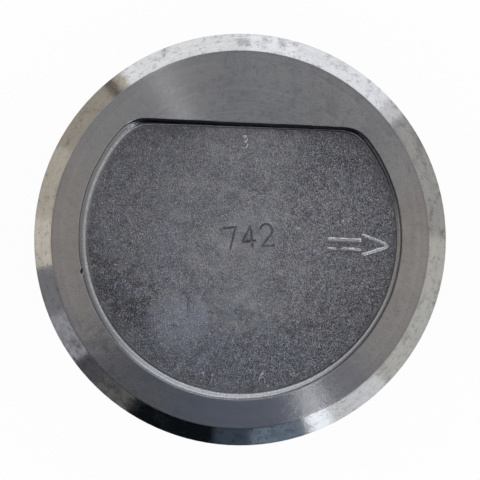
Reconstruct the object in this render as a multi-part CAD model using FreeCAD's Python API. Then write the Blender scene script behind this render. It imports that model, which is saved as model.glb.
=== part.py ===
"""Cast aluminium engine piston, one solid.

Millimetres. The origin is where the piston's axis crosses the gudgeon pin's axis.
+Z runs up to the crown, +X along the gudgeon pin to the front of the engine.
"""

import FreeCAD
import Part

import math
import os

Vector = FreeCAD.Vector

# The cylinder that the piston runs in, and the radial gap that each turned band leaves in it
cylinder_bore = 89.0
top_land_gap = 0.25
lower_land_gap = 0.2
skirt_gap = 0.025
skirt_top_gap = 0.125
skirt_end_gap = 0.075

# Height of the crown and of the skirt's end, from the pin's axis
compression_height = 38.5
skirt_length_below_pin = 33.0
skirt_widest_below_pin = 10.0

# Crown
crown_chamfer_width = 3.86
crown_chamfer_height = 3.86
crown_thickness = 7.5

# Cast dish in the crown, a circle with one flat side, and the turned rim left around it
dish_rim_width = 5.8
dish_offset = 0.3
dish_flat_rim_width = 15.3
dish_corner_radius = 8.8
dish_depth = 1.0
dish_wall_draft = 32.0
dish_wall_above_fillet = 0.15

# Outline of an arrow, raised on the dish floor, that points to the front of the engine
arrow_tip_from_rim = 2.8
arrow_head_length = 6.1
arrow_shaft_length = 7.4
arrow_shaft_width = 1.95
arrow_head_width = 4.3
arrow_ridge_height = 0.3
arrow_ridge_width = 0.75
arrow_ridge_top_width = 0.3

# Ring belt
top_land_height = 9.0
second_land_height = 4.0
third_land_height = 3.2
top_ring_width = 2.0
second_ring_width = 2.0
oil_ring_width = 4.0
top_groove_depth = 4.25
second_groove_depth = 4.4
oil_groove_depth = 4.0
land_edge_chamfer = 0.2

# Oil drains through the root of the oil groove, spread about each thrust side
drain_diameter = 3.0
drain_count = 5
drain_spread = 100.0

# Hollow under the crown and inside the skirt
belt_wall = 4.4
skirt_wall = 3.6
wall_step_above_pin = 9.0
wall_step_radius = 3.5
hollow_top_radius = 9.0
pin_side_wall = 4.0
pin_side_corner_radius = 8.0
skirt_end_chamfer = 0.8
register_wall = 3.0
register_depth = 4.0

# Gudgeon pin bosses and the pillars that hold them to the crown
pin_diameter = 22.0
boss_wall = 6.0
boss_gap = 31.0
pillar_width_at_crown = 27.0
boss_edge_fillet = 3.0
boss_root_fillet = 2.4
bore_chamfer = 0.6
boss_pad_wall = 4.5
boss_pad_height = 0.8
boss_oil_hole_diameter = 4.0

# Circlip groove near the outer end of the pin bore, and the notch that frees the clip
clip_groove_width = 1.4
clip_groove_depth = 0.9
clip_groove_from_face = 2.4
clip_notch_width = 3.4
clip_notch_depth = 1.9

# Flat cast recess outside each boss, under the ring belt
recess_depth = 5.7
recess_below_belt = 2.7
recess_fillet = 2.5

# Arch cut from the end of the skirt on each pin side
arch_height = 13.5
arch_width_at_end = 62.0
arch_width_at_top = 48.0
arch_corner_radius = 8.0

# Heights and radii that follow from the sizes above
crown_z = compression_height
dish_floor_z = crown_z - dish_depth
hollow_top_z = dish_floor_z - crown_thickness
top_groove_z = crown_z - top_land_height
second_groove_z = top_groove_z - top_ring_width - second_land_height
oil_groove_z = second_groove_z - second_ring_width - third_land_height
skirt_top_z = oil_groove_z - oil_ring_width
skirt_end_z = -skirt_length_below_pin
cylinder_radius = cylinder_bore / 2
top_land_radius = cylinder_radius - top_land_gap
lower_land_radius = cylinder_radius - lower_land_gap
skirt_radius = cylinder_radius - skirt_gap
skirt_top_radius = cylinder_radius - skirt_top_gap
skirt_end_radius = cylinder_radius - skirt_end_gap
crown_edge_radius = top_land_radius - crown_chamfer_width
dish_radius = crown_edge_radius - dish_rim_width
dish_flat_y = crown_edge_radius - dish_flat_rim_width
dish_fillet_height = dish_depth - dish_wall_above_fillet
dish_floor_fillet = dish_fillet_height / (1 - math.sin(math.radians(dish_wall_draft)))
top_root_radius = top_land_radius - top_groove_depth
second_root_radius = lower_land_radius - second_groove_depth
oil_root_radius = lower_land_radius - oil_groove_depth
belt_inner_radius = min(top_root_radius, second_root_radius, oil_root_radius) - belt_wall
skirt_inner_radius = skirt_radius - skirt_wall
pin_radius = pin_diameter / 2
boss_radius = pin_radius + boss_wall
boss_inner_x = boss_gap / 2
recess_x = skirt_radius - recess_depth
pin_side_x = recess_x - pin_side_wall
boss_outer_x = recess_x + boss_pad_height

# How far a cut runs on past the metal
overrun = 5.0


def turned(corners, radii):
    """The solid of a profile of (radius, height) corners, rounded, turned about the piston's axis."""
    wire = rounded_wire([Vector(r, 0, z) for r, z in corners], radii)
    return Part.Face(wire).revolve(Vector(0, 0, 0), Vector(0, 0, 1), 360)


def rounded_wire(corners, radii):
    """A closed wire of straight lines whose corners are rounded to the given radii."""
    count = len(corners)
    arcs = []
    for i, (corner, radius) in enumerate(zip(corners, radii)):
        before = (corners[i - 1] - corner).normalize()
        after = (corners[(i + 1) % count] - corner).normalize()
        half_angle = before.getAngle(after) / 2
        reach = radius / math.tan(half_angle)
        middle = corner
        if radius:
            bisector = (before + after).normalize()
            middle = corner + bisector * (radius / math.sin(half_angle) - radius)
        arcs.append((corner + before * reach, middle, corner + after * reach))
    edges = []
    for i, (start, middle, end) in enumerate(arcs):
        if radii[i]:
            edges.append(Part.Arc(start, middle, end).toShape())
        edges.append(Part.LineSegment(end, arcs[(i + 1) % count][0]).toShape())
    return Part.Wire(edges)


def cylinder_along_x(radius, x_from, x_to):
    return Part.makeCylinder(radius, x_to - x_from, Vector(x_from, 0, 0), Vector(1, 0, 0))


def both_ends(shape):
    """The shape and its mirror image on the other pin side."""
    return [shape, shape.mirror(Vector(0, 0, 0), Vector(1, 0, 0))]


def groove(land_above, root, land_below, top_z, width):
    """Profile corners of a ring groove, from the land above it to the land below it."""
    c = land_edge_chamfer
    bottom_z = top_z - width
    return [
        (land_above, top_z + c),
        (land_above - c, top_z),
        (root, top_z),
        (root, bottom_z),
        (land_below - c, bottom_z),
        (land_below, bottom_z - c),
    ]


def turned_outside():
    """Crown, lands, ring grooves and the skirt, widest below the pin, as one turned solid."""
    chamfer_low_z = crown_z - crown_chamfer_height
    corners = [(0, crown_z), (crown_edge_radius, crown_z), (top_land_radius, chamfer_low_z)]
    corners += groove(top_land_radius, top_root_radius, lower_land_radius, top_groove_z, top_ring_width)
    corners += groove(lower_land_radius, second_root_radius, lower_land_radius,
                      second_groove_z, second_ring_width)
    corners += groove(lower_land_radius, oil_root_radius, skirt_top_radius, oil_groove_z, oil_ring_width)
    corners += [
        (skirt_radius, -skirt_widest_below_pin),
        (skirt_end_radius, skirt_end_z + skirt_end_chamfer),
        (skirt_end_radius - skirt_end_chamfer, skirt_end_z),
        (0, skirt_end_z),
    ]
    return turned(corners, [0] * len(corners))


def dish():
    """The space of the dish: a drafted D with rounded corners and a filleted floor."""
    slope = math.tan(math.radians(dish_wall_draft))
    rise = dish_depth + overrun
    floor_radius = dish_radius - dish_depth * slope
    centre = Vector(0, dish_offset, dish_floor_z)
    shape = Part.makeCone(floor_radius, floor_radius + rise * slope, rise, centre)
    flat_at_floor = dish_flat_y - dish_depth * slope
    wide = 2 * (dish_radius + overrun)
    side = Part.makePolygon([
        Vector(-wide, flat_at_floor, dish_floor_z),
        Vector(-wide, flat_at_floor + rise * slope, dish_floor_z + rise),
        Vector(-wide, wide, dish_floor_z + rise),
        Vector(-wide, wide, dish_floor_z),
        Vector(-wide, flat_at_floor, dish_floor_z),
    ])
    shape = shape.cut(Part.Face(side).extrude(Vector(2 * wide, 0, 0)))
    corners = [e for e in shape.Edges if e.BoundBox.ZLength > rise / 2 and e.BoundBox.YMin > dish_offset]
    shape = shape.makeFillet(dish_corner_radius, corners)
    floor = [e for e in shape.Edges if e.BoundBox.ZMax < dish_floor_z + 0.01]
    return shape.makeFillet(dish_floor_fillet, floor)


def arrow_ridges():
    """Ridges with sloping sides along the outline of the arrow, with round ends where they meet."""
    shaft = arrow_shaft_width / 2
    head = arrow_head_width / 2
    tip_x = dish_radius - arrow_tip_from_rim
    neck_x = tip_x - arrow_head_length
    tail_x = neck_x - arrow_shaft_length
    outline = [
        Vector(tail_x, shaft, dish_floor_z),
        Vector(neck_x, shaft, dish_floor_z),
        Vector(neck_x, head, dish_floor_z),
        Vector(tip_x, 0, dish_floor_z),
        Vector(neck_x, -head, dish_floor_z),
        Vector(neck_x, -shaft, dish_floor_z),
        Vector(tail_x, -shaft, dish_floor_z),
    ]
    foot = arrow_ridge_width / 2
    top = arrow_ridge_top_width / 2
    sunk = foot / 2
    slope = (foot - top) / arrow_ridge_height
    wide = foot + sunk * slope
    up = Vector(0, 0, arrow_ridge_height)
    down = Vector(0, 0, -sunk)
    pieces = []
    for a, b in zip(outline, outline[1:] + outline[:1]):
        across = (b - a).cross(Vector(0, 0, 1)).normalize()
        section = [a + down + across * wide, a + up + across * top,
                   a + up - across * top, a + down - across * wide]
        face = Part.Face(Part.makePolygon(section + section[:1]))
        pieces.append(face.extrude(b - a))
        pieces.append(Part.makeCone(wide, top, arrow_ridge_height + sunk, a + down))
    return pieces[0].fuse(pieces[1:])


def lower_hollow():
    """The space inside the skirt: round, with a flat wall on each pin side."""
    r = pin_side_corner_radius
    to_corner = skirt_inner_radius - r
    corner_x = pin_side_x - r
    corner_y = math.sqrt(to_corner ** 2 - corner_x ** 2)
    outward = Vector(corner_x, corner_y, 0).normalize()
    between = (outward + Vector(1, 0, 0)).normalize()
    on_flat = Vector(pin_side_x, corner_y, 0)
    on_corner = Vector(corner_x, corner_y, 0) + between * r
    on_skirt = outward * skirt_inner_radius
    start_z = skirt_end_z - overrun

    def placed(point, side_x, side_y):
        return Vector(point.x * side_x, point.y * side_y, start_z)

    edges = []
    for side in (1, -1):
        edges.append(Part.LineSegment(placed(on_flat, side, 1), placed(on_flat, side, -1)).toShape())
        edges.append(Part.Arc(placed(on_skirt, 1, side), Vector(0, skirt_inner_radius * side, start_z),
                              placed(on_skirt, -1, side)).toShape())
        for other in (1, -1):
            corner = [placed(point, side, other) for point in (on_flat, on_corner, on_skirt)]
            edges.append(Part.Arc(*corner).toShape())
    outline = Part.Wire(Part.__sortEdges__(edges))
    shape = Part.Face(outline).extrude(Vector(0, 0, wall_step_above_pin - start_z))
    top = [edge for edge in shape.Edges if edge.BoundBox.ZMin > wall_step_above_pin - 0.01]
    return shape.makeFillet(wall_step_radius, top)


def upper_hollow(bottom_z):
    """The space inside the ring belt, up to the underside of the crown."""
    corners = [(0, hollow_top_z), (belt_inner_radius, hollow_top_z),
               (belt_inner_radius, bottom_z), (0, bottom_z)]
    return turned(corners, [0, hollow_top_radius, 0, 0])


def boss():
    """One boss and the pillar above it, seen along the pin, with its inner edge rounded."""
    half = pillar_width_at_crown / 2
    to_top = math.hypot(half, hollow_top_z)
    angle = math.atan2(hollow_top_z, half) - math.acos(boss_radius / to_top)
    touch_y = boss_radius * math.cos(angle)
    touch_z = boss_radius * math.sin(angle)
    rise = overrun / (hollow_top_z - touch_z)
    top_y = half - (touch_y - half) * rise
    top_z = hollow_top_z + overrun
    right = Vector(boss_inner_x, touch_y, touch_z)
    left = Vector(boss_inner_x, -touch_y, touch_z)
    top_right = Vector(boss_inner_x, top_y, top_z)
    top_left = Vector(boss_inner_x, -top_y, top_z)
    wire = Part.Wire([
        Part.Arc(left, Vector(boss_inner_x, 0, -boss_radius), right).toShape(),
        Part.LineSegment(right, top_right).toShape(),
        Part.LineSegment(top_right, top_left).toShape(),
        Part.LineSegment(top_left, left).toShape(),
    ])
    shape = Part.Face(wire).extrude(Vector(recess_x - boss_inner_x, 0, 0))
    inner = [e for e in shape.Edges
             if e.BoundBox.XMax < boss_inner_x + 0.01 and e.BoundBox.ZMin < hollow_top_z]
    return shape.makeFillet(boss_edge_fillet, inner)


def around_bosses(space, bosses, root_fillet):
    """The space without the bosses, with a fillet where each boss grows out of its wall."""
    def lies_on(solid, point):
        return solid.Shells[0].distToShape(Part.Vertex(point))[0] < 0.001

    rest = space.cut(bosses).Solids[0]
    roots = []
    for edge in rest.Edges:
        if edge.Degenerated or edge.BoundBox.ZMax < space.BoundBox.ZMin + 0.01:
            continue
        middle = edge.valueAt((edge.FirstParameter + edge.LastParameter) / 2)
        if lies_on(space, middle) and any(lies_on(boss_solid, middle) for boss_solid in bosses):
            roots.append(edge)
    return rest.makeFillet(root_fillet, roots)


def hollow():
    """The cored space under the crown, around the bosses and pillars."""
    bosses = both_ends(boss())
    overlap_z = wall_step_above_pin - 1.3 * wall_step_radius
    upper = around_bosses(upper_hollow(overlap_z), bosses, min(boss_root_fillet, boss_edge_fillet))
    lower = around_bosses(lower_hollow(), bosses, min(boss_root_fillet, 0.85 * wall_step_radius))
    return upper.fuse(lower)


def recess():
    """The flat space outside one boss, below the ring belt, with a fillet under the belt."""
    top_z = skirt_top_z - recess_below_belt
    low_z = skirt_end_z - overrun
    space = Part.makeBox(recess_depth + overrun, 2 * skirt_radius, top_z - low_z,
                         Vector(recess_x, -skirt_radius, low_z))
    under_belt = [edge for edge in space.Edges
                  if edge.BoundBox.ZMin > top_z - 0.01 and edge.BoundBox.XMax < recess_x + 0.01]
    return space.makeFillet(recess_fillet, under_belt)


def arch():
    """The space that the arches leave under both pin sides of the skirt."""
    top_z = skirt_end_z + arch_height
    low_z = skirt_end_z - overrun
    top = arch_width_at_top / 2
    low = arch_width_at_end / 2 + (arch_width_at_end - arch_width_at_top) / 2 * overrun / arch_height
    long = skirt_radius + overrun
    corners = [Vector(-long, -low, low_z), Vector(-long, low, low_z),
               Vector(-long, top, top_z), Vector(-long, -top, top_z)]
    wire = rounded_wire(corners, [0, 0, arch_corner_radius, arch_corner_radius])
    return Part.Face(wire).extrude(Vector(2 * long, 0, 0))


def bore_spaces():
    """The pin bore, its chamfers, clip grooves, clip notches and oil holes."""
    along = Vector(1, 0, 0)
    flare = 2 * bore_chamfer
    clip_x = boss_outer_x - clip_groove_from_face - clip_groove_width
    notch_reach = pin_radius + clip_notch_depth
    hole_x = (boss_inner_x + boss_outer_x) / 2
    outer_chamfer_at = Vector(boss_outer_x - bore_chamfer, 0, 0)
    inner_chamfer_at = Vector(boss_inner_x - bore_chamfer, 0, 0)
    at_one_end = [
        Part.makeCone(pin_radius, pin_radius + flare, flare, outer_chamfer_at, along),
        Part.makeCone(pin_radius + flare, pin_radius, flare, inner_chamfer_at, along),
        cylinder_along_x(pin_radius + clip_groove_depth, clip_x, clip_x + clip_groove_width),
        Part.makeBox(boss_outer_x + overrun - clip_x, clip_notch_width, notch_reach,
                     Vector(clip_x, -clip_notch_width / 2, -notch_reach)),
        Part.makeCylinder(boss_oil_hole_diameter / 2, boss_radius + overrun,
                          Vector(hole_x, 0, -boss_radius - overrun)),
    ]
    spaces = [cylinder_along_x(pin_radius, -boss_outer_x - overrun, boss_outer_x + overrun)]
    for space in at_one_end:
        spaces += both_ends(space)
    return spaces


def drains():
    """Drain holes through the root of the oil groove, spread about each thrust side."""
    z = oil_groove_z - oil_ring_width / 2
    holes = []
    for side in (90, 270):
        for i in range(drain_count):
            angle = math.radians(side + drain_spread * (i / (drain_count - 1) - 0.5))
            out = Vector(math.cos(angle), math.sin(angle), 0)
            start = out * (belt_inner_radius - overrun) + Vector(0, 0, z)
            holes.append(Part.makeCylinder(drain_diameter / 2, lower_land_radius, start, out))
    return holes


def register():
    """The machined space just inside the skirt's end."""
    radius = skirt_end_radius - register_wall
    return Part.makeCylinder(radius, register_depth + overrun, Vector(0, 0, skirt_end_z - overrun))


def piston():
    shape = turned_outside().cut(both_ends(recess()))
    pad = cylinder_along_x(pin_radius + boss_pad_wall, recess_x - pin_side_wall / 2, boss_outer_x)
    shape = shape.fuse(both_ends(pad))
    shape = shape.cut([hollow(), arch(), register()] + drains())
    shape = shape.cut(bore_spaces() + [dish()])
    return shape.fuse(arrow_ridges()).removeSplitter()


os.makedirs("parts", exist_ok=True)
solid = piston()
solid.exportStep("parts/piston.step")
volume = round(solid.Volume / 1000, 1)
print("piston:", len(solid.Solids), "solid, valid", solid.isValid(), "volume", volume, "cm3")
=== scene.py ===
import bpy, bmesh, math
import numpy as np
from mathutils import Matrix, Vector, geometry


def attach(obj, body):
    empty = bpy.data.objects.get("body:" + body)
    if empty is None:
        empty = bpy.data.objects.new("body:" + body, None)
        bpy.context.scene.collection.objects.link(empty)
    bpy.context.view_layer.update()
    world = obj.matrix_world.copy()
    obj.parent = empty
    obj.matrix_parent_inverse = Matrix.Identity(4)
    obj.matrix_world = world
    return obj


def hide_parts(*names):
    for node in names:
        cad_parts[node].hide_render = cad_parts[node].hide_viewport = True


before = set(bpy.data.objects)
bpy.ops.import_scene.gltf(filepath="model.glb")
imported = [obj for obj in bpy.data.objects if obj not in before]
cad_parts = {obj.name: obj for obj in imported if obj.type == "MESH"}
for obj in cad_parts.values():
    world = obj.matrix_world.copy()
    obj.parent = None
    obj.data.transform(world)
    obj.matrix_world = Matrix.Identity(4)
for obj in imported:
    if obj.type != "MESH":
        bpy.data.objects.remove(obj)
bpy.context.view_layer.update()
mm = 0.001
mergeDistance = 0.000002
farAway = 1e9
turned, cast, bored = 0, 1, 2   # a face's finish is the place of its material


# Noise and shapes that the surfaces share

def smooth(low, high, value):
    # 0 below low, 1 above high, and 3t^2 - 2t^3 between them
    t = np.clip((value - low) / (high - low), 0, 1)
    return t * t * (3 - 2 * t)


def lumps(x, y, size, seed, cells=256):
    # random heights from -1 to 1 on a square lattice, joined by smooth steps
    table = np.random.default_rng(seed).uniform(-1, 1, (cells, cells))
    u, v = x / size, y / size
    i, j = np.floor(u).astype(int), np.floor(v).astype(int)
    su, sv = smooth(0, 1, u - i), smooth(0, 1, v - j)
    left, right, low, high = i % cells, (i + 1) % cells, j % cells, (j + 1) % cells
    near = table[left, low] * (1 - su) + table[right, low] * su
    far = table[left, high] * (1 - su) + table[right, high] * su
    return near * (1 - sv) + far * sv


def distanceToLine(x, y, line):
    # distance from each point to the nearest of the straight runs of a line of corners
    nearest = np.full(np.shape(x), farAway)
    for (ax, ay), (bx, by) in zip(line[:-1], line[1:]):
        dx, dy = bx - ax, by - ay
        along = np.clip(((x - ax) * dx + (y - ay) * dy) / max(dx * dx + dy * dy, 1e-9), 0, 1)
        nearest = np.minimum(nearest, np.hypot(x - ax - along * dx, y - ay - along * dy))
    return nearest


def arcOfLine(cx, cy, rx, ry, fromDeg, toDeg, steps=12):
    # corners along an ellipse's arc, (cx + rx cos a, cy + ry sin a)
    a = np.radians(np.linspace(fromDeg, toDeg, steps))
    return list(zip(cx + rx * np.cos(a), cy + ry * np.sin(a)))


# Plain digits as lines in a box 0.6 wide and 1 high
digitWidth = 0.6
digitPitch = 0.82
digitLines = {
    "1": [[(0.12, 0.78), (0.34, 1.0), (0.34, 0.0)]],
    "2": [arcOfLine(0.3, 0.7, 0.28, 0.3, 160, -35) + [(0.02, 0.0), (0.6, 0.0)]],
    "3": [arcOfLine(0.28, 0.75, 0.26, 0.25, 150, -90) + arcOfLine(0.28, 0.25, 0.3, 0.25, 90, -150)],
    "4": [[(0.6, 0.3), (0.0, 0.3), (0.44, 1.0), (0.44, 0.0)]],
    "6": [arcOfLine(0.3, 0.3, 0.28, 0.3, 0, 360, 20), arcOfLine(0.62, 0.3, 0.6, 0.7, 180, 105, 8)],
    "7": [[(0.02, 1.0), (0.58, 1.0), (0.22, 0.0)]],
}


def distanceToNumber(x, y, mark):
    # distance to the strokes of a mark's number, turned and scaled about the mark's middle
    c, s = math.cos(math.radians(mark["turn"])), math.sin(math.radians(mark["turn"]))
    middleX, middleY = mark["middle"]
    u = ((x - middleX) * c + (y - middleY) * s) / mark["height"]
    v = ((y - middleY) * c - (x - middleX) * s) / mark["height"]
    start = -(digitPitch * (len(mark["number"]) - 1) + digitWidth) / 2
    nearest = np.full(np.shape(x), farAway)
    for place, digit in enumerate(mark["number"]):
        for line in digitLines[digit]:
            moved = [(px + start + place * digitPitch, py - 0.5) for px, py in line]
            nearest = np.minimum(nearest, distanceToLine(u, v, moved))
    return nearest * mark["height"]


# Crown: sizes in millimetres, as the frame has them

crown = {
    "top": 38.5, "landRadius": 44.25, "edgeRadius": 40.39, "chamferHeight": 3.86,
    "dishRadius": 34.59, "dishOffset": 0.3, "flatY": 25.0, "cornerRadius": 7.5,
    "dishDepth": 1.0, "draft": 32.0, "floorFillet": 1.808, "bandWidth": 2.8,
    # the wall's width: its mean share, what x and y add to that, and how much less it is by the straight side
    "wallWidth": (1.01, -0.235, -0.03), "flatNarrow": 0.25, "narrowFrom": 21.5, "narrowTo": 24.5,
    "ringPoints": 960, "rimStep": 0.22, "gridStep": 0.34, "fineStep": 0.165, "fineMargin": 0.3,
    "fineX": [(-4.6, 8.0), (18.0, 32.6)], "fineY": [(-3.4, 4.4), (19.4, 22.6), (-31.2, -28.6)],
}

# heights, sizes and seeds of the unevenness, one scratch, and ripples by the straight side
castFloor = {
    "lumps": ((0.030, 7.0, 1), (0.016, 3.1, 2), (0.013, 1.3, 3), (0.008, 0.7, 4)),
    "scratch": [(-12.6, 0.6), (-10.9, -1.5), (-9.4, 0.9)], "scratchHeight": 0.05, "scratchHalf": 0.3,
    "ripples": (17.3, 18.6, 19.9), "rippleHeight": 0.02, "rippleWidth": 0.28,
}

# x of the arrow's parts, half widths, and its nose as steps back from the tip and out from the middle
arrow = {
    "tail": 19.1, "neck": 25.6, "headBack": 26.35, "tip": 31.72, "shaft": 0.94, "head": 2.05,
    "nose": ((0.95, 0.50), (0.42, 0.25), (0.25, 0)), "height": 0.29,
}

# half is the half width of the strokes
stamp = {"number": "742", "middle": (1.79, 0.62), "height": 4.7, "turn": 8.25,
         "depth": 0.25, "half": 0.25, "lip": 0.08, "lipAt": 0.38, "lipWidth": 0.12}

# digits of the mould, and how far each stands up
mouldMarks = (
    {"number": "3", "middle": (0.08, 20.92), "height": 2.5, "turn": 0.0, "rise": 0.22, "half": 0.28},
    {"number": "11", "middle": (-5.74, -29.94), "height": 2.4, "turn": -12.0, "rise": 0.22, "half": 0.26},
    {"number": "6", "middle": (6.03, -29.42), "height": 2.3, "turn": 6.0, "rise": 0.20, "half": 0.26},
)

rimPit = {"x": -33.51, "y": -8.23, "halfX": 0.22, "halfY": 0.6, "depth": 0.5, "shadeX": 0.3, "shadeY": 0.75}


def cornerCentre():
    # centre of the round corner at the right end of the dish's straight side
    y = crown["flatY"] - crown["cornerRadius"]
    reach = crown["dishRadius"] - crown["cornerRadius"]
    return math.sqrt(reach ** 2 - (y - crown["dishOffset"]) ** 2), y


def dishRim():
    # points and inward normals round the dish: a circle, a straight side, and two round corners
    radius, corner = crown["dishRadius"], crown["cornerRadius"]
    cornerX, cornerY = cornerCentre()
    turn = math.atan2(cornerY - crown["dishOffset"], cornerX)
    shortest = 1.5 * corner   # a shorter arc gets the points of this length
    count = round(2 * cornerX / crown["rimStep"])
    x = np.linspace(cornerX, -cornerX, count, endpoint=False)
    points, normals = [], []
    for cx, cy, r, start, end in (
        (0, crown["dishOffset"], radius, -math.pi - turn, turn),
        (cornerX, cornerY, corner, turn, math.pi / 2),
        (-cornerX, cornerY, corner, math.pi / 2, math.pi - turn),
    ):
        if cx < 0:
            points.append(np.stack([x, np.full(count, crown["flatY"])], 1))
            normals.append(np.tile([0.0, -1.0], (count, 1)))
        steps = round(max(r * (end - start), shortest) / crown["rimStep"])
        a = np.linspace(start, end, steps, endpoint=False)
        out = np.stack([np.cos(a), np.sin(a)], 1)
        points.append(out * r + [cx, cy])
        normals.append(-out)
    return np.concatenate(points), np.concatenate(normals)


def dishSection():
    # distances in from the rim and heights: a sharp edge, a short drafted wall, a round fillet, the floor
    fillet, depth, draft = crown["floorFillet"], crown["dishDepth"], math.radians(crown["draft"])
    wallDepth = depth - fillet + fillet * math.sin(draft)
    filletEnd = wallDepth * math.tan(draft) + fillet * math.cos(draft)
    angle = np.linspace(draft, math.pi / 2, 13)
    downWall = 0.6
    inset = [-0.6, -0.3, -0.1, -0.02, 0.01, wallDepth * math.tan(draft) * downWall]
    height = [0.0, 0.0, 0.0, -0.004, -0.02, -wallDepth * downWall]
    inset += (filletEnd - fillet * np.cos(angle)).tolist()
    height += (fillet - depth - fillet * np.sin(angle)).tolist()
    flat = [filletEnd + share for share in (0.3, 0.65, 1.0)]
    return np.array(inset + flat), np.array(height + [-depth] * len(flat)), filletEnd


def arrowRidges(x, y):
    # ridges along the arrow's outline: height * fullness * (1 - a smooth step of the distance to it)
    upper = [(arrow["tail"], arrow["shaft"]), (arrow["neck"], arrow["shaft"])]
    upper += [(arrow["headBack"], arrow["head"])]
    upper += [(arrow["tip"] - back, out) for back, out in arrow["nose"]]
    lower = [(px, -py) for px, py in upper]
    ridges = np.zeros(np.shape(x))
    broken = 0.68 + 0.4 * lumps(x, y, 0.55, 8)
    # each run with how full it was cast, and the half widths of its top and its foot
    for line, full, top, foot in (
        (upper[:2], 1.0, 0.31, 0.54), (upper[2:], 0.82, 0.25, 0.54),
        (lower[2:], 0.95, 0.10, 0.54), (lower[:2], broken, 0.2, 0.6),
    ):
        away = distanceToLine(x, y, line) + 0.05 * lumps(x, y, 0.9, 5)
        ridges = np.maximum(ridges, full * (1 - smooth(top, foot, away)))
    return arrow["height"] * ridges * (1 + 0.12 * lumps(x, y, 1.6, 6))


def floorRelief(x, y):
    # what stands up from the dish floor: cast unevenness, arrow, digits, one scratch, and faint ripples
    relief = np.zeros(np.shape(x))
    for height, size, seed in castFloor["lumps"]:
        relief += height * lumps(x, y, size, seed)
    relief += arrowRidges(x, y)
    away = distanceToNumber(x, y, stamp)
    struck = 0.78 + 0.26 * lumps(x, y, 2.4, 9)   # struck by hand, so not equally deep
    lip = stamp["lip"] * np.exp(-((away - stamp["lipAt"]) / stamp["lipWidth"]) ** 2)
    relief += struck * (lip - stamp["depth"] * (1 - smooth(0.0, stamp["half"], away)))
    for mark in mouldMarks:
        away = distanceToNumber(x, y, mark)
        relief += mark["rise"] * (1 - smooth(0.04, mark["half"], away)) * (0.8 + 0.3 * lumps(x, y, 0.8, 7))
    scratch = distanceToLine(x, y, castFloor["scratch"])
    relief += castFloor["scratchHeight"] * (1 - smooth(0.05, castFloor["scratchHalf"], scratch))
    for radius in castFloor["ripples"]:
        ripple = np.exp(-((np.hypot(x, y - 0.5) - radius) / castFloor["rippleWidth"]) ** 2)
        relief += castFloor["rippleHeight"] * ripple * np.exp(-(x / 6.0) ** 2) * smooth(8, 14, y)
    return relief


def pitRelief(x, y):
    # one small pit in the dish's rim, -depth * exp(-u^2 - v^2)
    u, v = (x - rimPit["x"]) / rimPit["halfX"], (y - rimPit["y"]) / rimPit["halfY"]
    return -rimPit["depth"] * np.exp(-u ** 2 - v ** 2)


def gridLines(low, high, fineSpans):
    # positions with the fine step inside the fine spans and the wide step elsewhere
    margin = crown["fineMargin"]
    lines = [low]
    while lines[-1] < high:
        at = lines[-1]
        fine = any(a - margin < at < b + margin for a, b in fineSpans)
        lines.append(at + (crown["fineStep"] if fine else crown["gridStep"]))
    return np.array(lines)


def insideDish(x, y, inset):
    # true where a point is further than inset inside the rim
    cornerX, cornerY = cornerCentre()
    inCircle = np.hypot(x, y - crown["dishOffset"]) < crown["dishRadius"] - inset
    inCorner = np.hypot(np.abs(x) - cornerX, y - cornerY) < crown["cornerRadius"] - inset
    pastCorner = (np.abs(x) > cornerX) & (y > cornerY)
    return inCircle & (y < crown["flatY"] - inset) & (inCorner | ~pastCorner)


def between(outer, inner):
    # triangles that fill the plane between two loops, as indices into outer followed by inner
    flat = np.concatenate([outer, inner])
    edges = [(i, (i + 1) % len(outer)) for i in range(len(outer))]
    edges += [(len(outer) + i, len(outer) + (i + 1) % len(inner)) for i in range(len(inner))]
    points = [Vector(p) for p in flat.tolist()]
    verts, _, faces, origins, _, _ = geometry.delaunay_2d_cdt(points, edges, [], 1, 1e-7)
    if len(verts) != len(points):
        raise ValueError("the loops touch")
    back = np.array([origin[0] for origin in origins])
    triangles = back[np.array(faces)]
    # a triangle inside the inner loop lies on the axis side of the edge at its own azimuth
    x, y = flat[triangles].mean(1).T
    loop = inner[np.argsort(np.arctan2(inner[:, 1], inner[:, 0]))]
    start = np.searchsorted(np.arctan2(loop[:, 1], loop[:, 0]), np.arctan2(y, x)) - 1
    ax, ay = loop[start].T
    bx, by = loop[(start + 1) % len(loop)].T
    outside = (bx - ax) * (y - ay) - (by - ay) * (x - ax) < 0
    return triangles[outside]


class Sheet:
    # collects points and faces of one mesh, with a finish for each face
    def __init__(self):
        self.points, self.faces, self.finishes, self.count = [], [], [], 0

    def addPoints(self, xyz):
        # gives back the indices of the new points
        self.points.append(np.asarray(xyz, float))
        self.count += len(xyz)
        return np.arange(self.count - len(xyz), self.count)

    def addFaces(self, faces, finish):
        self.faces += np.asarray(faces).tolist()
        self.finishes += [finish] * len(faces)

    def addBands(self, index, finishes):
        # closed bands of quads: each row of indices is one loop, and each band between two has a finish
        for low, high, finish in zip(index[:-1], index[1:], finishes):
            self.addFaces(np.stack([low, np.roll(low, -1), np.roll(high, -1), high], 1), finish)

    def addBetween(self, outer, outerIndex, inner, innerIndex, finish):
        # triangles between two loops whose points are in the sheet already
        index = np.concatenate([outerIndex, innerIndex])
        self.addFaces(index[between(outer[:, :2], inner[:, :2])], finish)


def loopOf(radius, z):
    # (r cos a, r sin a, z) once round the axis
    count = crown["ringPoints"]
    a = 2 * math.pi * np.arange(count) / count
    return np.stack([radius * np.cos(a), radius * np.sin(a), np.full(count, z)], 1)


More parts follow.
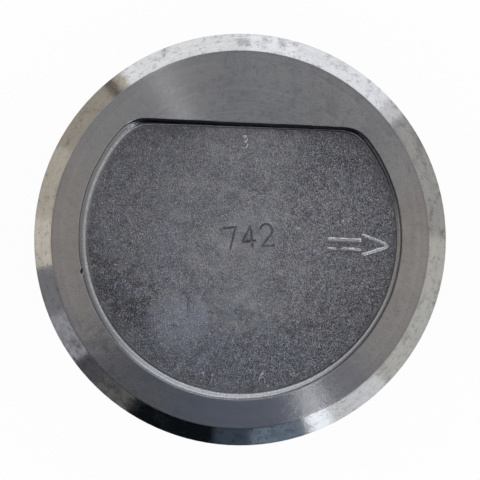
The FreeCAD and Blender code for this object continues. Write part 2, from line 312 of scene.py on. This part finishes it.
def buildChamfer(sheet, landLoop):
    # loops of radius r at the height top - (r - edge) * slope, a small round edge, and the flat ring
    top, land, edge = crown["top"], crown["landRadius"], crown["edgeRadius"]
    slope = crown["chamferHeight"] / (land - edge)
    loops = [loopOf(r, top - (r - edge) * slope) for r in (land - 0.06, land - 0.3, edge + 0.35, edge + 0.07)]
    loops += [loopOf(edge + 0.02, top - 0.022), loopOf(edge - 0.04, top - 0.003)]
    loops += [loopOf(edge - 0.12, top), loopOf(edge - 0.4, top)]
    landIndex = sheet.addPoints(landLoop)
    index = sheet.addPoints(np.concatenate(loops)).reshape(len(loops), -1)
    sheet.addBetween(landLoop, landIndex, loops[0], index[0], turned)
    sheet.addBands(index, [turned] * (len(loops) - 1))
    return loops[-1], index[-1]


def buildWall(sheet, ringLoop, ringIndex):
    # the dish's section carried round its rim, from the flat ring to a loop on the cast floor
    rim, inward = dishRim()
    rimX, rimY = rim.T
    wave = 0.05 * lumps(rimX, rimY, 5.0, 11) + 0.02 * lumps(rimX, rimY, 1.4, 12)
    # the cast floor lies a little off the turned rim, so the wall is wider at the left and at the bottom
    width, widthX, widthY = crown["wallWidth"]
    stretch = width + (rimX * widthX + rimY * widthY) / crown["dishRadius"]
    stretch -= crown["flatNarrow"] * smooth(crown["narrowFrom"], crown["narrowTo"], rimY)
    insets, heights, filletEnd = dishSection()
    loops = []
    for inset, height in zip(insets, heights):
        # the section is stretched up to the fillet's end, and past it the loops close up to the band's end
        moved = min(inset, 0) + np.clip(inset, 0, filletEnd) * stretch
        moved = moved + max(inset - filletEnd, 0) * (crown["bandWidth"] - filletEnd * stretch)
        moved = moved + wave * smooth(-0.3, 0.0, inset)
        x, y = (rim + inward * moved[:, None]).T
        relief = floorRelief(x, y) * smooth(1.0, 1.9, inset)
        z = crown["top"] + height + relief + pitRelief(x, y) * (inset < 0.9)
        loops.append(np.stack([x, y, z], 1))
    index = sheet.addPoints(np.concatenate(loops)).reshape(len(loops), -1)
    sheet.addBetween(ringLoop, ringIndex, loops[0], index[0], turned)
    turnedBands = 4   # these lie outside the rim's edge
    sheet.addBands(index, [turned] * turnedBands + [cast] * (len(loops) - 1 - turnedBands))
    return loops[-1], index[-1]


def buildFloor(sheet, outer, outerIndex):
    # a square grid at the floor's height plus its relief, joined by triangles to the wall's last loop
    xs = gridLines(-35.0, 35.0, crown["fineX"])
    ys = gridLines(-35.0, 26.0, crown["fineY"])
    gx, gy = np.meshgrid(xs, ys, indexing="ij")
    keep = insideDish(gx, gy, crown["bandWidth"] + 0.5)
    cell = keep[:-1, :-1] & keep[1:, :-1] & keep[:-1, 1:] & keep[1:, 1:]
    used = np.zeros(keep.shape, bool)
    for a in (0, 1):
        for b in (0, 1):
            used[a:used.shape[0] - 1 + a, b:used.shape[1] - 1 + b] |= cell
    floorZ = crown["top"] - crown["dishDepth"] + floorRelief(gx[used], gy[used])
    index = np.full(keep.shape, -1)
    index[used] = sheet.addPoints(np.stack([gx[used], gy[used], floorZ], 1))
    corners = (index[:-1, :-1], index[1:, :-1], index[1:, 1:], index[:-1, 1:])
    sheet.addFaces(np.stack([corner[cell] for corner in corners], 1), cast)
    allRound = np.zeros(keep.shape, bool)
    allRound[1:-1, 1:-1] = cell[:-1, :-1] & cell[1:, :-1] & cell[:-1, 1:] & cell[1:, 1:]
    atEdge = used & ~allRound
    edge = np.stack([gx[atEdge], gy[atEdge]], 1)
    order = np.argsort(np.arctan2(edge[:, 1], edge[:, 0]))
    sheet.addBetween(outer, outerIndex, edge[order], index[atEdge][order], cast)


# Casting: the frame's own solid below the crown, and the crown worked out above it

# radii, heights and distances that tell the finishes apart
zones = {
    "skirtRadius": 43.2, "beltRadius": 39.7, "beltZ": 14.0, "endRadius": 40.0, "endZ": -28.9,
    "boreRadius": 13.2, "boreX": 15.2, "padRadius": 15.7,
}

shading = {"sharpAngle": 32, "normalWeight": 60}


def addToScene(name, data):
    made = bpy.data.objects.new(name, data)
    bpy.context.scene.collection.objects.link(made)
    return made


def castingBelow(node):
    # the frame's mesh, merged, without the faces above the land, and the land's upper edge in order
    work = bmesh.new()
    work.from_mesh(node.data)
    bmesh.ops.remove_doubles(work, verts=work.verts, dist=mergeDistance)
    cut = (crown["top"] - crown["chamferHeight"] - 0.004) * mm
    above = [f for f in work.faces if min(v.co.z for v in f.verts) > cut]
    bmesh.ops.delete(work, geom=above, context="FACES")
    loop = [v for v in work.verts if v.co.z > cut]
    loop.sort(key=lambda v: math.atan2(v.co.y, v.co.x))
    landLoop = np.array([v.co[:] for v in loop]) / mm
    points = np.array([v.co[:] for v in work.verts]) / mm
    work.verts.index_update()
    faces = [[v.index for v in f.verts] for f in work.faces]
    work.free()
    return points, faces, landLoop


def finishOf(points, faces):
    # each face's finish, from where its corners lie and how it faces
    corners = points[np.array(faces)]
    centre = corners.mean(1)
    normal = np.cross(corners[:, 1] - corners[:, 0], corners[:, 2] - corners[:, 0])
    normal /= np.maximum(np.linalg.norm(normal, axis=1, keepdims=True), 1e-9)
    radius = np.hypot(corners[:, :, 0], corners[:, :, 1]).min(1)
    aboutPin = np.hypot(corners[:, :, 1], corners[:, :, 2]).max(1)
    centreRadius = np.maximum(np.hypot(centre[:, 0], centre[:, 1]), 1e-9)
    outwards = (centre[:, :2] * normal[:, :2]).sum(1) / centreRadius
    isTurned = (radius > zones["skirtRadius"]) & (outwards > 0.2)
    isTurned |= (radius > zones["beltRadius"]) & (centre[:, 2] > zones["beltZ"])
    atEnd = (centre[:, 2] < zones["endZ"]) & (radius > zones["endRadius"])
    isTurned |= atEnd & ((outwards < -0.5) | (normal[:, 2] < -0.3))
    isBored = (aboutPin < zones["boreRadius"]) & (np.abs(centre[:, 0]) > zones["boreX"])
    isBored |= (aboutPin < zones["padRadius"]) & (np.abs(normal[:, 0]) > 0.95)
    return np.where(isTurned, turned, np.where(isBored, bored, cast))


def buildCasting():
    points, faces, landLoop = castingBelow(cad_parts["piston"])
    sheet = Sheet()
    sheet.addPoints(points)
    sheet.faces += faces
    sheet.finishes += finishOf(points, faces).tolist()
    ringLoop, ringIndex = buildChamfer(sheet, landLoop)
    floorLoop, floorIndex = buildWall(sheet, ringLoop, ringIndex)
    buildFloor(sheet, floorLoop, floorIndex)
    mesh = bpy.data.meshes.new("pistonCasting")
    mesh.from_pydata((np.concatenate(sheet.points) * mm).tolist(), [], sheet.faces)
    mesh.polygons.foreach_set("material_index", np.array(sheet.finishes, np.int32))
    work = bmesh.new()
    work.from_mesh(mesh)
    bmesh.ops.remove_doubles(work, verts=work.verts, dist=mergeDistance)
    bmesh.ops.recalc_face_normals(work, faces=work.faces)
    openEdges = sum(1 for e in work.edges if len(e.link_faces) != 2)
    work.to_mesh(mesh)
    work.free()
    mesh.update()
    mesh.shade_smooth()
    mesh.set_sharp_from_angle(angle=math.radians(shading["sharpAngle"]))
    casting = addToScene("pistonCasting", mesh)
    weighted = casting.modifiers.new("weighted", "WEIGHTED_NORMAL")
    weighted.keep_sharp = True
    weighted.weight = shading["normalWeight"]
    depsgraph = bpy.context.evaluated_depsgraph_get()
    finished = bpy.data.meshes.new_from_object(casting.evaluated_get(depsgraph))
    casting.modifiers.clear()
    casting.data = finished
    print("casting:", len(finished.vertices), "vertices,", len(finished.polygons), "faces,",
          "open edges", openEdges)
    return casting


# Shader maths: one small class for sockets, and one method that makes any node

class Number:
    def __init__(self, shader, socket):
        self.shader, self.socket = shader, socket

    def maths(self, operation, *others):
        return self.shader.node("ShaderNodeMath", {"operation": operation}, [self, *others])

    def __add__(self, other):
        return self.maths("ADD", other)

    def __sub__(self, other):
        return self.maths("SUBTRACT", other)

    def __mul__(self, other):
        return self.maths("MULTIPLY", other)

    def __truediv__(self, other):
        return self.maths("DIVIDE", other)

    def __rsub__(self, other):
        return self.shader.node("ShaderNodeMath", {"operation": "SUBTRACT"}, [other, self])

    __radd__ = __add__
    __rmul__ = __mul__


class Shader:
    def __init__(self, name, tree=None):
        if tree is None:
            self.material = bpy.data.materials.new(name)
            self.material.use_nodes = True
            tree = self.material.node_tree
        self.tree = tree
        self.tree.nodes.clear()

    def node(self, kind, settings=None, values=(), output=0):
        # settings go in first, then values or links, by place or by socket name
        made = self.tree.nodes.new(kind)
        for key, value in (settings or {}).items():
            setattr(made, key, value)
        pairs = values.items() if isinstance(values, dict) else enumerate(values)
        for key, value in pairs:
            if isinstance(value, Number):
                self.tree.links.new(value.socket, made.inputs[key])
            elif value is not None:
                made.inputs[key].default_value = value
        if output is None:
            return made
        return Number(self, made.outputs[output])

    def ramp(self, value, low, high, toLow=0.0, toHigh=1.0):
        # a smooth step from toLow to toHigh as value goes from low to high
        return self.node("ShaderNodeMapRange", {"interpolation_type": "SMOOTHSTEP"}, {
            "Value": value, "From Min": low, "From Max": high, "To Min": toLow, "To Max": toHigh})

    def noise(self, at, scale, detail=2.0, roughness=0.5, distortion=0.0):
        return self.node("ShaderNodeTexNoise", {}, {"Vector": at, "Scale": scale, "Detail": detail,
                                                   "Roughness": roughness, "Distortion": distortion})

    def spread(self, at, scale, detail, roughness, low, high, distortion=0.0):
        # a noise, stepped to 0 where it is under low and to 1 where it is over high
        return self.ramp(self.noise(at, scale, detail, roughness, distortion), low, high)

    def toolMarks(self, along, scale, detail):
        # a noise of one number, which gives lines across it
        return self.node("ShaderNodeTexNoise", {"noise_dimensions": "1D"},
                         {"W": along, "Scale": scale, "Detail": detail})

    def mix(self, factor, a, b):
        # colours, or colour links, mixed by a factor
        made = self.node("ShaderNodeMix", {"data_type": "RGBA"}, {0: factor}, None)
        for place, value in ((6, a), (7, b)):
            if isinstance(value, Number):
                self.tree.links.new(value.socket, made.inputs[place])
            else:
                made.inputs[place].default_value = (*value, 1.0)
        return Number(self, made.outputs[2])

    def bump(self, height, distance, normal=None):
        return self.node("ShaderNodeBump", {}, {"Height": height, "Distance": distance, "Strength": 1.0,
                                               "Normal": normal})

    def glow(self, colour):
        return self.node("ShaderNodeEmission", {}, {"Color": (*colour, 1.0), "Strength": 1.0})

    def metal(self, **sockets):
        # a Principled surface, with an underscore for each space in a socket's name
        values = {name.replace("_", " "): value for name, value in sockets.items()}
        return self.finish(self.node("ShaderNodeBsdfPrincipled", {}, {"Metallic": 1.0, **values}))

    def finish(self, surface):
        self.node("ShaderNodeOutputMaterial", {}, {"Surface": surface}, None)
        return self.material


def placeOnPiece(shader):
    # position in millimetres, its parts, and the distance from the axis
    at = shader.node("ShaderNodeTexCoord", {}, {}, "Object")
    inMm = shader.node("ShaderNodeVectorMath", {"operation": "SCALE"}, {0: at, "Scale": 1 / mm})
    split = shader.node("ShaderNodeSeparateXYZ", {}, [inMm], None)
    x, y, z = (Number(shader, split.outputs[i]) for i in range(3))
    radius = (x * x + y * y).maths("SQRT")
    return inMm, x, y, z, radius


def towards(shader, x, y, radius, azimuth, halfWidth, softness):
    # 1 within halfWidth degrees of an azimuth round the axis, fading to 0 past it
    c, s = math.cos(math.radians(azimuth)), math.sin(math.radians(azimuth))
    cosine = (x * c + y * s) / radius.maths("MAXIMUM", 0.5)
    edge, core = math.radians(halfWidth + softness), math.radians(halfWidth)
    return shader.ramp(cosine, math.cos(edge), math.cos(core))


def insideRim(x, y):
    # about how far a point lies inside the dish's rim, in millimetres, with the corners rounded
    offset = y - crown["dishOffset"]
    fromCentre = (x * x + offset * offset).maths("SQRT")
    fromFlat = y + (crown["dishRadius"] - crown["flatY"])
    rounding = 4.6
    return crown["dishRadius"] - fromCentre.maths("SMOOTH_MAX", fromFlat, rounding)


def softPatch(shader, x, y, middleX, middleY, wide, high, edge=1.0, core=0.1):
    # 1 at the middle of an oval patch, fading to 0 at its edge
    u, v = (x - middleX) / wide, (y - middleY) / high
    return shader.ramp(u * u + v * v, edge, core)


def pitShadow(shader, x, y):
    # the dark pit in the rim
    return softPatch(shader, x, y, rimPit["x"], rimPit["y"], rimPit["shadeX"], rimPit["shadeY"], 1.3, 0.5)


def darker(colour, share):
    return tuple(c * share for c in colour)


# each noise has its scale, detail, roughness, the values that become 0 and 1, and its distortion
turnedFinish = {
    "metal": (0.60, 0.60, 0.605), "stainAndShade": (0.325, 0.325, 0.335), "pit": (0.04, 0.04, 0.045),
    "roughness": 0.15, "anisotropic": 1.0, "marksFine": (3.3, 2.0), "marksWide": (0.7, 1.0),
    "spots": (0.75, 3.0, 0.6, 0.53, 0.68), "blots": (0.36, 4.0, 0.6, 0.50, 0.68, 0.4),
    "clouds": (0.16, 3.0, 0.6, 0.42, 0.66), "specks": (2.6, 2.0, 0.6, 0.46, 0.74),
    "dirt": (0.35, 4.0, 0.65, 0.42, 0.60), "dirtAt": (232, 14, 12),
    "markDepth": 0.000006, "rippleDepth": 0.000006, "waveDepth": 0.000007,
}


def turnedMaterial():
    shader = Shader("turnedAluminium")
    look = turnedFinish
    at, x, y, z, radius = placeOnPiece(shader)
    along = radius - z   # runs across the tool marks on the crown, chamfer, lands and skirt alike
    marksFine = shader.toolMarks(along, *look["marksFine"])
    marksWide = shader.toolMarks(along, *look["marksWide"])
    spots = shader.spread(at, *look["spots"])
    blots = shader.spread(at, *look["blots"]) * shader.ramp(y + x * 0.9, -30.0, 20.0, 0.35, 1.0)
    onTop = shader.ramp(z, 28.0, 34.0, 0.35, 1.0)   # handling marks are on the crown and its chamfer
    clouds = shader.spread(at, *look["clouds"])
    specks = shader.spread(at, *look["specks"])
    dirty = towards(shader, x, y, radius, *look["dirtAt"]) * shader.spread(at, *look["dirt"])
    dirty = dirty * shader.ramp(z, 31.0, 34.6)
    onChamfer = shader.ramp(radius, 40.3, 40.5)
    # painted shade: a dark band on the flat ring along its outer edge
    edgeShade = shader.ramp(radius, 39.75, 40.3) * (1 - onChamfer)
    # painted shade on the flat ring just outside the dish's rim, on the right side
    rimShade = shader.ramp(insideRim(x, y), -0.35, 0.0) * shader.ramp(z, 38.0, 38.4)
    rimShade = rimShade * shader.ramp(x, 8.0, 22.0)
    # stains and handling marks, with the painted shade of the ring's edge and of the dish's rim added in
    stainAndShade = (spots * (0.24 + 0.2 * onChamfer) + blots * (0.2 + 0.36 * onChamfer)) * onTop + clouds * 0.16
    stainAndShade = (stainAndShade + specks * 0.25 + dirty * 0.6 + edgeShade * 0.4 + rimShade * 0.5).maths("MINIMUM", 1.0)
    tint = shader.mix(shader.ramp(marksWide, 0.35, 0.65), look["metal"], darker(look["metal"], 0.93))
    tint = shader.mix(shader.ramp(marksFine, 0.3, 0.7, 0.0, 0.5), tint, darker(look["metal"], 0.86))
    colour = shader.mix(stainAndShade, tint, look["stainAndShade"])
    colour = shader.mix(pitShadow(shader, x, y), colour, look["pit"])
    rough = look["roughness"] + stainAndShade * 0.16 + (marksFine - 0.5) * 0.10
    bump = shader.bump(marksFine, look["markDepth"])
    bump = shader.bump(shader.noise(at, 3.0), look["rippleDepth"], bump)
    bump = shader.bump(shader.noise(at, 0.5), look["waveDepth"], bump)
    return shader.metal(Base_Color=colour, Roughness=rough, Normal=bump,
                        Anisotropic=look["anisotropic"], Anisotropic_Rotation=0.25)


castFinish = {
    "metal": (0.318, 0.318, 0.34), "light": (0.535, 0.541, 0.575), "dark": (0.075, 0.075, 0.09),
    "fleck": (0.94, 0.945, 1.0), "blue": (0.27, 0.305, 0.385), "paleBlue": (0.42, 0.45, 0.535),
    "blueGrey": (0.325, 0.36, 0.45), "dirt": (0.20, 0.17, 0.14), "wall": (0.46, 0.465, 0.475),
    "wallLit": (0.68, 0.69, 0.72), "wearAndHighlight": (0.88, 0.885, 0.905), "sunk": (0.06, 0.06, 0.065),
    "roughness": 0.42, "grainDepth": 0.0006, "swellDepth": 0.0002,
}

# patches of the dish floor: x and y of the middle, half the width and half the height
floorPatches = {
    "top": (1.0, 20.0, 16.0, 8.0), "low": (1.5, -15.5, 11.0, 8.0), "stamp": (2.0, 0.8, 9.0, 6.5),
    "right": (24.0, 4.0, 13.0, 17.0), "blue": (-11.5, -18.0, 9.0, 8.0), "leftBlue": (-15.0, -2.0, 5.0, 10.0),
}


def castMaterial():
    shader = Shader("castAluminium")
    look = castFinish
    at, x, y, z, radius = placeOnPiece(shader)

    def patch(name):
        return softPatch(shader, x, y, *floorPatches[name])

    def paint(colour, factor, name):
        return shader.mix(factor, colour, look[name])

    # the distance from the rim in shares of the wall's own width, and what stands up or lies deep
    inDish = shader.ramp(z, 34.0, 34.2)
    width, widthX, widthY = crown["wallWidth"]
    stretch = (x * widthX + y * widthY) / crown["dishRadius"] + width
    stretch = stretch - shader.ramp(y, crown["narrowFrom"], crown["narrowTo"]) * crown["flatNarrow"]
    fromRim = insideRim(x, y) / stretch
    floorZ = crown["top"] - crown["dishDepth"]
    onWall = inDish * shader.ramp(fromRim, 1.70, 1.15)
    wallTone = inDish * shader.ramp(fromRim, 1.8, 1.3)
    raised = inDish * shader.ramp(z, floorZ + 0.07, floorZ + 0.17) * (1 - onWall)
    sunk = inDish * shader.ramp(z, floorZ - 0.05, floorZ - 0.12)

    # broad tones of the floor: a light smooth middle, a bluish patch at the lower left, darker to the rim
    wisps = shader.noise(at, 0.20, 5.0, 0.62, 0.5)
    nearTop, nearStamp = patch("top"), patch("stamp")
    middle = shader.ramp(radius, 28.0, 9.0).maths("MAXIMUM", nearTop * 0.9)
    middle = middle * (0.5 + shader.ramp(wisps, 0.40, 0.58) * 0.5)
    bluePatch = patch("blue") * shader.ramp(wisps, 0.42, 0.50)
    lowerLeft = shader.ramp(y + x * 0.45, -8.0, -26.0)
    smear = shader.noise(at, 0.3, 4.0, 0.62)
    dirtNear = shader.ramp(shader.noise(at, 0.42, 4.0, 0.66) - lowerLeft * 0.04, 0.50, 0.39)
    dirtNear = dirtNear * (0.3 + lowerLeft * 0.7)

    # grain drawn out along a slant: dark pits where one noise is low, light flecks where another is high
    coarse = shader.ramp(x, -12.0, 24.0, 0.85, 1.2)   # coarser towards the arrow
    calm = middle * 0.35 + patch("low") * 0.45 + bluePatch * 0.3 + nearStamp * 0.3
    calm = calm.maths("MINIMUM", 0.75)
    slant = [(x * 0.5 - y * 0.87) * 0.72, (x * 0.87 + y * 0.5) * 1.15, z]
    leant = shader.node("ShaderNodeCombineXYZ", {}, slant)
    fine = shader.noise(leant, 6.6, 1.0, 0.6) * 0.6 + shader.noise(leant, 2.8, 2.0, 0.6) * 0.4
    clumps = shader.spread(at, 0.9, 3.0, 0.6, 0.40, 0.60)
    flecks = shader.spread(leant, 6.2, 1.0, 0.6, 0.53, 0.66) * (clumps * 0.35 + 0.38)
    swell = shader.noise(at, 0.75)

    paler = patch("right").maths("MAXIMUM", nearTop * 0.8)
    colour = shader.mix(paler * 0.36, look["metal"], look["light"])
    colour = paint(colour, middle * 0.8, "light")
    colour = paint(colour, nearStamp * 0.5, "light")
    colour = paint(colour, shader.ramp(smear, 0.40, 0.60) * (0.4 + lowerLeft * 0.5), "blue")
    colour = paint(colour, dirtNear * (1 - bluePatch) * 0.75, "dark")
    cornerShade = shader.ramp(x * -0.75 - y * 0.66, 22.5, 28.0) * shader.ramp(smear, 0.36, 0.52)
    colour = paint(colour, cornerShade * 0.6, "dark")
    colour = paint(colour, bluePatch * 0.75, "paleBlue")
    lowBlue = shader.ramp(y, -17.0, -26.0).maths("MAXIMUM", patch("leftBlue") * 0.7)
    colour = paint(colour, lowBlue * 0.55, "blueGrey")
    pits = shader.ramp(fine, 0.545, 0.425) * (1 - calm) * coarse * (1.0 - clumps * 0.15)
    colour = paint(colour, pits, "dark")
    colour = paint(colour, flecks * coarse * (1 - calm * 0.6), "fleck")
    edgeDirt = inDish * shader.ramp(fromRim, 4.5, 2.0) * shader.ramp(smear, 0.36, 0.58)
    colour = paint(colour, edgeDirt * 0.16, "dirt")

    # the dish's wall has painted shade by its rim, darkest at the straight side and the right shoulder, and a
    # painted highlight where it is lit, at the bottom and the left
    litWall = shader.ramp(y, -16.0, -33.0) * shader.ramp(x, 22.0, 4.0)
    litWall = litWall.maths("MAXIMUM", shader.ramp(x, -22.0, -31.0) * 0.6)
    wallColour = shader.mix(litWall, look["wall"], look["wallLit"])
    wallColour = paint(wallColour, shader.ramp(fine, 0.56, 0.42) * 0.5, "metal")
    colour = shader.mix(wallTone, colour, wallColour)
    shaded = shader.ramp(y, 22.5, 24.5).maths("MAXIMUM", shader.ramp(y + x * 0.6, 21.0, 35.0) * 0.7)
    # painted shade down the wall towards its rim, deeper at the straight side
    byRim = shader.ramp(fromRim, 1.05, 0.50) * (shader.ramp(x, -18.0, -30.0) * 0.2 + 0.42)
    byRim = byRim.maths("MAXIMUM", shaded * shader.ramp(fromRim, 1.35, 0.95) * 0.95)
    colour = paint(colour, onWall * byRim, "dark")
    # painted highlight along the wall's foot, strongest where the wall is lit and none where it is shaded
    crest = shader.ramp(fromRim, 0.80, 1.10) * shader.ramp(fromRim, 1.60, 1.25) * inDish
    crest = crest * shader.ramp(fine, 0.38, 0.56) * (1 - shaded) * (litWall * 0.5 + 0.25)
    colour = paint(colour, crest, "wearAndHighlight")
    # raised marks get a lighter colour, partly wear on their tops and partly painted highlight
    colour = paint(colour, raised * (0.6 + flecks * 0.4), "wearAndHighlight")
    # painted shade in the struck digits' grooves and in the pit of the rim
    colour = paint(colour, (sunk * 0.34 + pitShadow(shader, x, y)).maths("MINIMUM", 1.0), "sunk")

    rough = look["roughness"] + (swell - 0.5) * 0.2 - onWall * 0.18 - raised * 0.22 + (1 - inDish) * 0.06
    grain = (fine + flecks * 0.1) * (1 - onWall * 0.96) * (1 - calm * 0.6)
    grain = grain * (1 - raised * 0.9) * (1 - sunk * 0.8)
    bump = shader.bump(grain, look["grainDepth"])
    bump = shader.bump(swell * (1 - onWall * 0.9), look["swellDepth"], bump)
    return shader.metal(Base_Color=colour, Roughness=rough, Normal=bump)


boredFinish = {
    "metal": (0.66, 0.66, 0.665), "roughness": 0.24, "marks": (3.0, 2.0), "markDepth": 0.000003,
    "clouds": (0.25, 3.0, 0.6, 0.4, 0.7),
}


def boredMaterial():
    shader = Shader("boredAluminium")
    look = boredFinish
    at, x, y, z, _ = placeOnPiece(shader)
    along = (y * y + z * z).maths("SQRT") + x   # runs across the tool marks in the bore and on its faces
    marks = shader.toolMarks(along, *look["marks"])
    colour = shader.mix(shader.spread(at, *look["clouds"]) * 0.5, look["metal"], darker(look["metal"], 0.8))
    bump = shader.bump(marks, look["markDepth"])
    return shader.metal(Base_Color=colour, Roughness=look["roughness"] + marks * 0.12, Normal=bump)


casting = buildCasting()
for made in (turnedMaterial(), castMaterial(), boredMaterial()):
    casting.data.materials.append(made)
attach(casting, "root")
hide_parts("piston")
print("materials: turned, cast, bored")


# Studio: a pale floor, a soft world, and cards that only the metal mirrors

studio = {
    "floorZ": -33.0, "floorColour": (0.96, 0.96, 0.96), "floorSize": 4000.0, "floorGlow": 0.93,
    "worldLevel": 1.0, "cardRadius": 700.0, "cardStep": 2.0, "cardLift": 1.0, "liftStep": 0.01,
}

# azimuth from and to, elevation from and to, colour
cards = {
    "northSky": (25, 88, 62, 90, (0.36, 0.36, 0.365)),
    "northWestSky": (88, 155, 62, 90, (0.325, 0.322, 0.32)),
    "southSky": (221, 245, 62, 90, (0.0, 0.01, 0.045)),
    "dimSky": (245, 262, 62, 90, (0.035, 0.055, 0.10)),
    "blueSky": (262, 286, 62, 90, (0.065, 0.10, 0.172)),
    "southEastSky": (286, 317, 62, 90, (0.155, 0.165, 0.22)),
    "eastSky": (-43, 25, 62, 90, (0.385, 0.36, 0.34)),
    "eastGlow": (-16, 8, 60, 88, (0.46, 0.42, 0.395)),
    "westSky": (155, 221, 62, 90, (0.36, 0.335, 0.32)),
    "northHigh": (20, 160, 28, 62, (0.66, 0.68, 0.73)),
    "southHigh": (196, 304, 28, 62, (0.01, 0.012, 0.02)),
    "eastHigh": (-56, 20, 28, 62, (0.56, 0.555, 0.55)),
    "westHigh": (160, 196, 28, 62, (0.32, 0.31, 0.26)),
    "southMid": (236, 291.5, 8, 28, (0.0, 0.0, 0.002)),
    "windowEdge": (40, 46, -32, 28, (0.93, 0.93, 0.955)),
    "window": (46, 76, -32, 28, (1.31, 1.33, 1.38)),
    "windowMiddle": (76, 90, -32, 28, (1.47, 1.48, 1.53)),
    "windowLeft": (90, 128, -32, 28, (1.25, 1.265, 1.28)),
    "frameEdge": (128, 131, -32, 28, (0.64, 0.57, 0.47)),
    "post": (131, 134, -32, 28, (0.16, 0.13, 0.11)),
    "westNear": (134, 155, -32, 28, (0.50, 0.445, 0.37)),
    "westWall": (155, 176.5, -32, 28, (0.665, 0.602, 0.505)),
    "westBright": (176.5, 190.4, -32, 28, (0.84, 0.77, 0.665)),
    "darkWest": (190.4, 205, -32, 28, (0.28, 0.28, 0.295)),
    "greyWest": (205, 219, -32, 28, (0.46, 0.46, 0.50)),
    "dimWest": (219, 228, -32, 28, (0.12, 0.12, 0.13)),
    "brownWest": (228, 239, -32, 28, (0.19, 0.185, 0.18)),
    "darkSouth": (239, 265, -32, 8, (0.004, 0.007, 0.009)),
    "dimSouth": (265, 276, -32, 8, (0.072, 0.098, 0.132)),
    "blueSouth": (275.5, 292, -32, 8, (0.22, 0.285, 0.36)),
    "strip": (293, 299.5, -32, 28, (1.46, 1.53, 1.62)),
    "stripHigh": (293.5, 299.5, 28, 76, (4.0, 4.0, 4.1)),
    "glint": (118.2, 120.2, 28, 75, (2.6, 2.6, 2.65)),
    "eastBright": (299.5, 318, -32, 28, (0.95, 0.96, 0.98)),
    "eastWall": (318, 346, -32, 28, (0.70, 0.695, 0.65)),
    "eastNear": (346, 363, -32, 28, (0.695, 0.673, 0.615)),
    "greyWall": (3, 40, -32, 28, (0.53, 0.515, 0.49)),
}


def makeCard(name, span, nearer):
    # a patch of a sphere round the crown, centre + R (cos e cos a, cos e sin a, sin e); where the sphere
    # passes the floor, the card lies just above it
    fromAz, toAz, fromEl, toEl, colour = span
    a = np.radians(np.linspace(fromAz, toAz, max(3, int((toAz - fromAz) / 3) + 1)))
    e = np.radians(np.linspace(fromEl, toEl, 15))
    ga, ge = np.meshgrid(a, e, indexing="ij")
    drop = crown["top"] - studio["floorZ"] - studio["cardLift"] - nearer * studio["liftStep"]
    reach = np.minimum(studio["cardRadius"] - nearer, drop / np.maximum(np.sin(-ge), 1e-6)) * mm
    xyz = np.stack([np.cos(ge) * np.cos(ga), np.cos(ge) * np.sin(ga), np.sin(ge)], -1) * reach[..., None]
    xyz[..., 2] += crown["top"] * mm
    i, j = np.meshgrid(np.arange(len(a) - 1), np.arange(len(e) - 1), indexing="ij")
    corner = i * len(e) + j
    quads = np.stack([corner, corner + len(e), corner + len(e) + 1, corner + 1], -1).reshape(-1, 4)
    mesh = bpy.data.meshes.new(name)
    mesh.from_pydata(xyz.reshape(-1, 3).tolist(), [], quads.tolist())
    shader = Shader(name)
    mesh.materials.append(shader.finish(shader.glow(colour)))
    card = addToScene(name, mesh)
    card.visible_camera = False
    card.visible_diffuse = False
    card.visible_shadow = False
    card.visible_transmission = False


def seenDirectly(shader):
    # 1 for what the camera, a mirror or glass sees
    path = shader.node("ShaderNodeLightPath", {}, {}, None)
    rays = [Number(shader, path.outputs[f"Is {kind} Ray"]) for kind in ("Camera", "Glossy", "Transmission")]
    return (rays[0] + rays[1] + rays[2]).maths("MINIMUM", 1.0)


def makeFloor():
    half, z = studio["floorSize"] / 2 * mm, studio["floorZ"] * mm
    corners = [(-half, -half, z), (half, -half, z), (half, half, z), (-half, half, z)]
    mesh = bpy.data.meshes.new("floor")
    mesh.from_pydata(corners, [], [(0, 1, 2, 3)])
    shader = Shader("floorWhite")
    paint = shader.node("ShaderNodeBsdfDiffuse", {}, {"Color": (*studio["floorColour"], 1.0)})
    share = seenDirectly(shader) * studio["floorGlow"]
    both = shader.node("ShaderNodeMixShader", {}, [share, paint, shader.glow((1, 1, 1))])
    mesh.materials.append(shader.finish(both))
    addToScene("floor", mesh)


def makeWorld():
    world = bpy.data.worlds.new("studioWorld")
    world.use_nodes = True
    shader = Shader("studioWorld", world.node_tree)
    seen = seenDirectly(shader)
    level = seen + (1 - seen) * studio["worldLevel"]
    glow = shader.node("ShaderNodeBackground", {}, {"Color": (1, 1, 1, 1), "Strength": level})
    shader.node("ShaderNodeOutputWorld", {}, {"Surface": glow}, None)
    bpy.context.scene.world = world


makeFloor()
makeWorld()
for place, (name, span) in enumerate(cards.items()):
    makeCard(name, span, place * studio["cardStep"])   # each card a step nearer, so that none coincide
print("studio: floor, world and", len(cards), "cards")


# Camera: straight above the crown, about 600 mm off

camera = {
    "height": 600.0, "lens": 210.75, "sensor": 36.0, "roll": -2.55, "shift": (0.0, -0.0009),
    "nearest": 0.01, "furthest": 20.0,
}


def makeCamera():
    data = bpy.data.cameras.new("camera")
    data.sensor_width = camera["sensor"]
    data.lens = camera["lens"]
    data.shift_x, data.shift_y = camera["shift"]
    data.clip_start = camera["nearest"]
    data.clip_end = camera["furthest"]
    eye = addToScene("camera", data)
    eye.location = (0, 0, (crown["top"] + camera["height"]) * mm)
    eye.rotation_euler = (0, 0, -math.radians(camera["roll"]))
    bpy.context.scene.camera = eye
    print("camera:", camera["height"], "mm above the crown")


makeCamera()
bpy.context.scene.view_settings.view_transform = "Standard"
